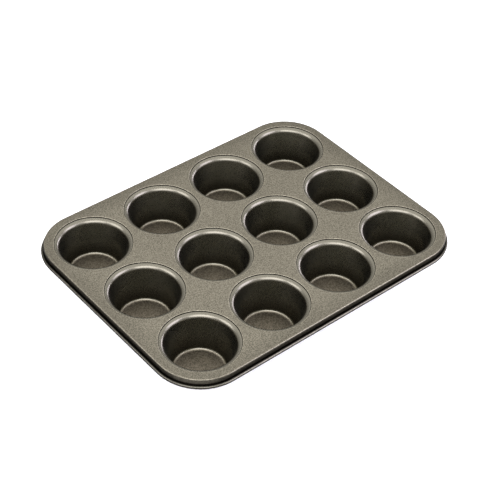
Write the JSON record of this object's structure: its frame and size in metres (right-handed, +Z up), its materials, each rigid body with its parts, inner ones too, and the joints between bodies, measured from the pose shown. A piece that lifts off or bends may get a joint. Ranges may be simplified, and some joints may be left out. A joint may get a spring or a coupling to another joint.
{
  "type": "muffin tin",
  "caption": "Shallow rounded rectangular baking tin with a grid of round tapered cups set into a flat deck whose edge is drawn down and curled round a wire.",
  "frame": {"origin": "on the ground under the middle of the tin, so that the cup bottoms rest on z = 0", "axes": "+X along the long side, a row of cups; +Y along the short side; +Z up, out of the cup mouths"},
  "size_m": [0.3496, 0.2666, 0.038],
  "materials": {
    "coated_deck": "satin warm grey-brown non-stick coating with a fine metallic speckle",
    "coated_cups": "satin warm grey-brown non-stick coating, darker inside the cups",
    "bare_wire": "plain drawn steel wire"
  },
  "bodies": {
    "root": {"deck": "coated_deck", "rim_wire": "bare_wire", "cup_1_1": "coated_cups", "cup_1_2": "coated_cups", "cup_1_3": "coated_cups", "cup_1_4": "coated_cups", "cup_2_1": "coated_cups", "cup_2_2": "coated_cups", "cup_2_3": "coated_cups", "cup_2_4": "coated_cups", "cup_3_1": "coated_cups", "cup_3_2": "coated_cups", "cup_3_3": "coated_cups", "cup_3_4": "coated_cups"}
  },
  "joints": []
}
